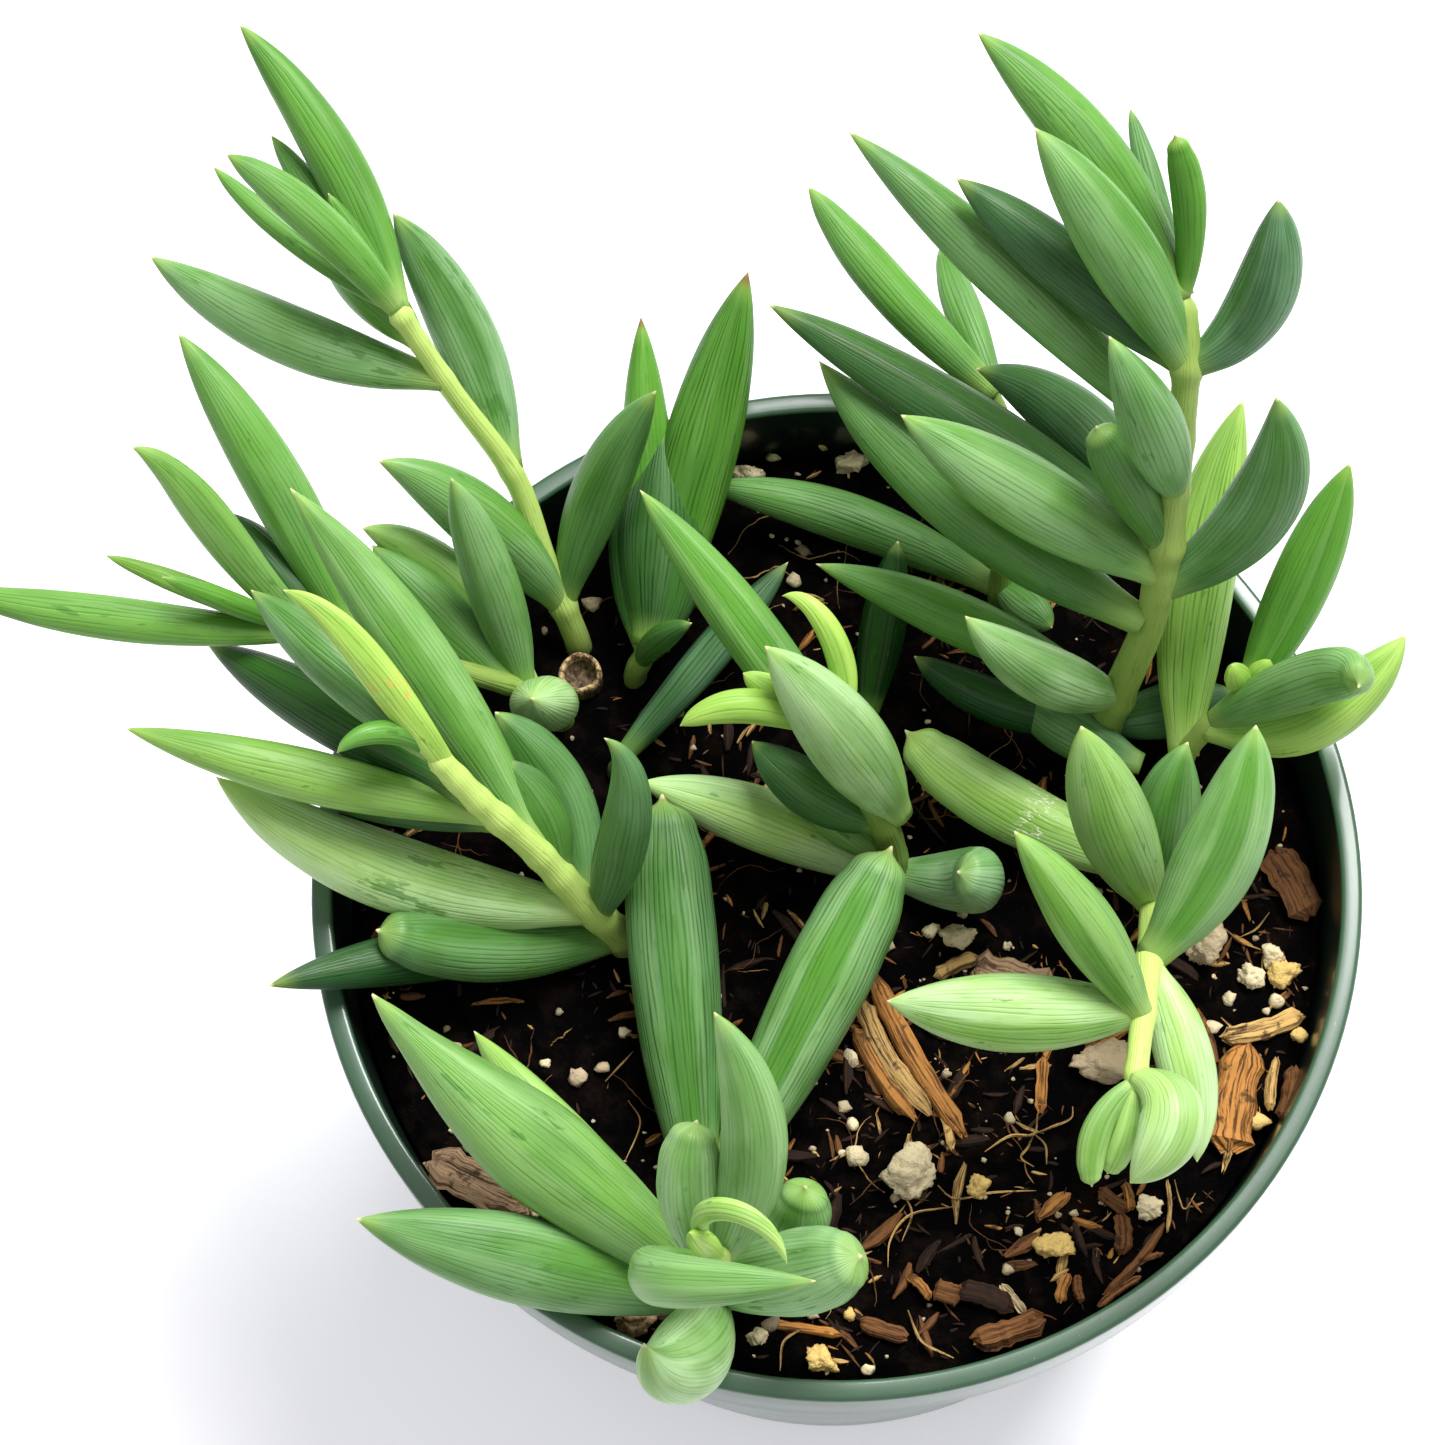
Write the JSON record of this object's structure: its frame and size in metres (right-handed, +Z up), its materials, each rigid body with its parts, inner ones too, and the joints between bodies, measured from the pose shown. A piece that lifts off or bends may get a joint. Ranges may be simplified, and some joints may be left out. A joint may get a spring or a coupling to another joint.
{
  "type": "potted succulent plant",
  "caption": "Succulent with leafy stems of fat, pointed, hooked leaves that lean over the rim of a round tapered nursery pot filled with potting mix.",
  "frame": {"origin": "centre of the pot's underside, on the face that it rests on", "axes": "+Z up through the pot's axis, -Y towards the side the plant is seen from, +X to the right from that side"},
  "size_m": [0.1471, 0.1337, 0.1451],
  "materials": {
    "pot": "smooth green plastic, slightly glossy",
    "soil": "rough dark potting mix with bark and perlite",
    "leaf": "waxy green leaf and stem, with fine lengthwise stripes",
    "dry_stem": "dry brown stem"
  },
  "bodies": {
    "root": {"pot": "pot", "soil": "soil", "old_stub": "dry_stem", "stem_back_left": "leaf", "stem_left": "leaf", "stem_front_left": "leaf", "stem_back": "leaf", "stem_fallen": "leaf", "stem_centre": "leaf", "stem_shaded": "leaf", "stem_front_pair": "leaf", "stem_front": "leaf", "stem_right_front": "leaf", "stem_right": "leaf", "stem_back_low": "leaf", "stem_back_right": "leaf"}
  },
  "joints": []
}
